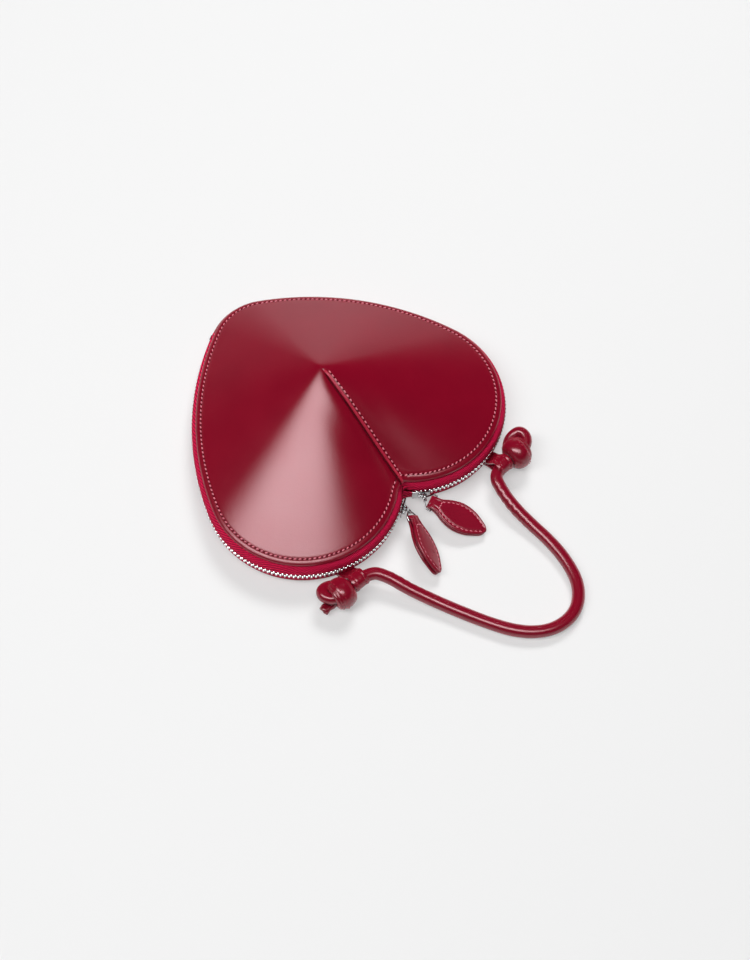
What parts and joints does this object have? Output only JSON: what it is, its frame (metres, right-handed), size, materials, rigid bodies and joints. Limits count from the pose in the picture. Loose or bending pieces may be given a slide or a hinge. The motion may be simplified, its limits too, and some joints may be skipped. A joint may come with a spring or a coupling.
{
  "type": "heart shaped purse",
  "caption": "Stiff heart shaped leather clamshell purse with a cone front, a zip round its edge, leather zip pulls and a rolled, knotted handle.",
  "frame": {"origin": "on the back panel's outer face, in the plane of symmetry, on the line through the lobes' centres", "axes": "+Z out of the front, +Y towards the notch and the handle, +X to the right lobe seen from the front"},
  "size_m": [0.2132, 0.3033, 0.0666],
  "materials": {
    "panel_leather": "glossy dark red",
    "trim_leather": "satin dark red",
    "handle_leather": "glossy dark red",
    "pull_leather": "satin dark red",
    "zip_tape": "woven crimson tape",
    "zip_metal": "bright nickel",
    "board": "stiffener",
    "lining": "woven lining",
    "core": "cord filler"
  },
  "bodies": {
    "back": {"back_panel": "panel_leather", "back_board": "board", "back_lining": "lining", "back_zip_tape": "zip_tape", "back_zip_teeth": "zip_metal", "zip_end_stops": "zip_metal", "tip_gusset_back_half": "trim_leather", "right_handle_loop": "handle_leather", "left_handle_loop": "handle_leather"},
    "front": {"front_panel": "panel_leather", "seam_lap": "panel_leather", "front_board": "board", "front_lining": "lining", "front_zip_tape": "zip_tape", "front_zip_teeth": "zip_metal", "tip_gusset_front_half": "trim_leather"},
    "handle": {"handle_sleeve": "handle_leather", "handle_core": "core", "right_handle_knot": "handle_leather", "left_handle_knot": "handle_leather"},
    "right_slider": {"right_slider": "zip_metal", "right_slider_bail": "zip_metal", "right_ring_link": "zip_metal"},
    "right_pull": {"right_pull_frame": "zip_metal", "right_pull_front_leaf": "pull_leather", "right_pull_insert": "board", "right_pull_back_leaf": "pull_leather"},
    "left_slider": {"left_slider": "zip_metal", "left_slider_bail": "zip_metal", "left_ring_link": "zip_metal"},
    "left_pull": {"left_pull_frame": "zip_metal", "left_pull_front_leaf": "pull_leather", "left_pull_insert": "board", "left_pull_back_leaf": "pull_leather"}
  },
  "joints": [
    {"name": "front_open", "type": "hinge", "parent": "back", "child": "front", "pos_m": [0, -0.1276, 0.012], "axis": [1, 0, 0], "range_deg": [0, 90]},
    {"name": "handle_swing", "type": "hinge", "parent": "back", "child": "handle", "pos_m": [0, 0.071, 0.011], "axis": [1, 0, 0], "range_deg": [0, 110]},
    {"name": "right_slider_travel", "type": "hinge", "parent": "back", "child": "right_slider", "pos_m": [0.0433, 0, 0.012], "axis": [0, 0, -1], "range_deg": [0, 136], "deforming": ["right_ring_link", "right_pull_frame", "right_pull_front_leaf", "right_pull_insert", "right_pull_back_leaf"]},
    {"name": "right_pull_swing", "type": "hinge", "parent": "right_slider", "child": "right_pull", "pos_m": [0.00652, 0.05804, 0.014], "axis": [0.6575, -0.048, 0.7519], "range_deg": [0, 100]},
    {"name": "left_slider_travel", "type": "hinge", "parent": "back", "child": "left_slider", "pos_m": [-0.0433, 0, 0.012], "axis": [0, 0, 1], "range_deg": [0, 136], "deforming": ["left_ring_link", "left_pull_frame", "left_pull_front_leaf", "left_pull_insert", "left_pull_back_leaf"]},
    {"name": "left_pull_swing", "type": "hinge", "parent": "left_slider", "child": "left_pull", "pos_m": [-0.00653, 0.05796, 0.014], "axis": [0.9135, 0.4068, 0], "range_deg": [0, 100]}
  ]
}
